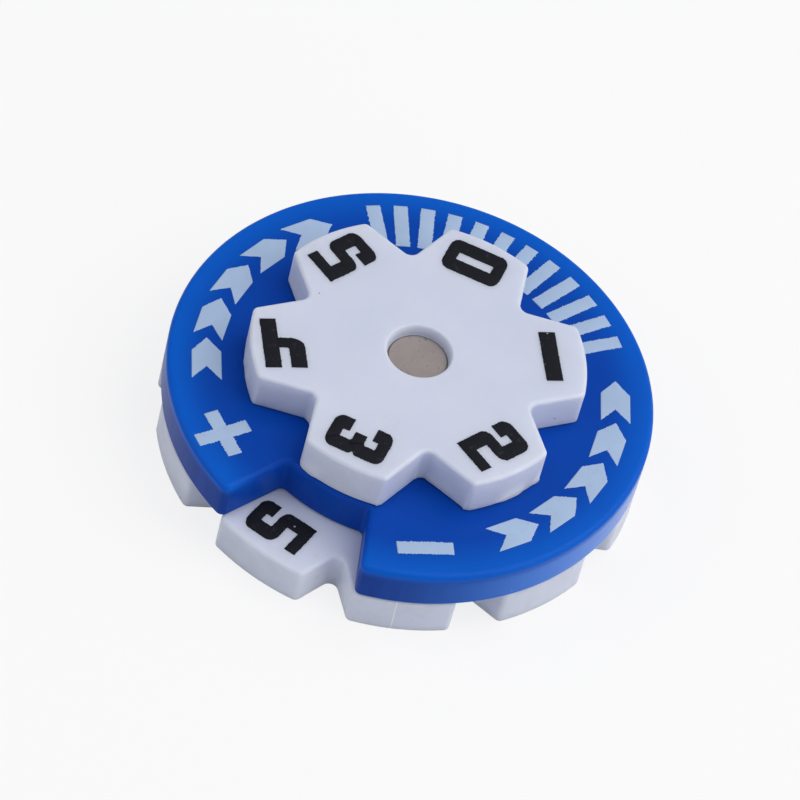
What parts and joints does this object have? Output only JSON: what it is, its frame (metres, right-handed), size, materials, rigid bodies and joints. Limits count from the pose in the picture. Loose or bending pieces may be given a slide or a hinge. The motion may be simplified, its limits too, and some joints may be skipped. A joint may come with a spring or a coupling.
{
  "type": "dial life counter",
  "caption": "Pocket dial counter: a notched round plate turns between two toothed number wheels, held together by disc magnets.",
  "frame": {"origin": "on the axis of the wheels, at the underside of the lower wheel", "axes": "+Z along the axis towards the upper wheel, +X through the middle of the plate's notch, so that the count reads upright from the centre outwards"},
  "size_m": [0.04, 0.04, 0.0107],
  "materials": {
    "wheel_white": "satin white moulded plastic",
    "plate_blue": "glossy, slightly translucent deep blue moulded plastic",
    "magnet_metal": "dull nickel plating with fine scratches",
    "digit_ink": "satin black printing ink",
    "sign_ink": "satin pale blue-white printing ink"
  },
  "bodies": {
    "plate": {"cover_plate": "plate_blue"},
    "tens": {"tens_wheel": "wheel_white", "upper_magnet": "magnet_metal"},
    "ones": {"ones_wheel": "wheel_white", "lower_magnet": "magnet_metal"}
  },
  "joints": [
    {"name": "tens_turn", "type": "hinge", "parent": "plate", "child": "tens", "pos_m": [0, 0, 0.007], "axis": [0, 0, 1], "continuous": true},
    {"name": "ones_turn", "type": "hinge", "parent": "plate", "child": "ones", "pos_m": [0, 0, 0.004], "axis": [0, 0, 1], "continuous": true}
  ]
}
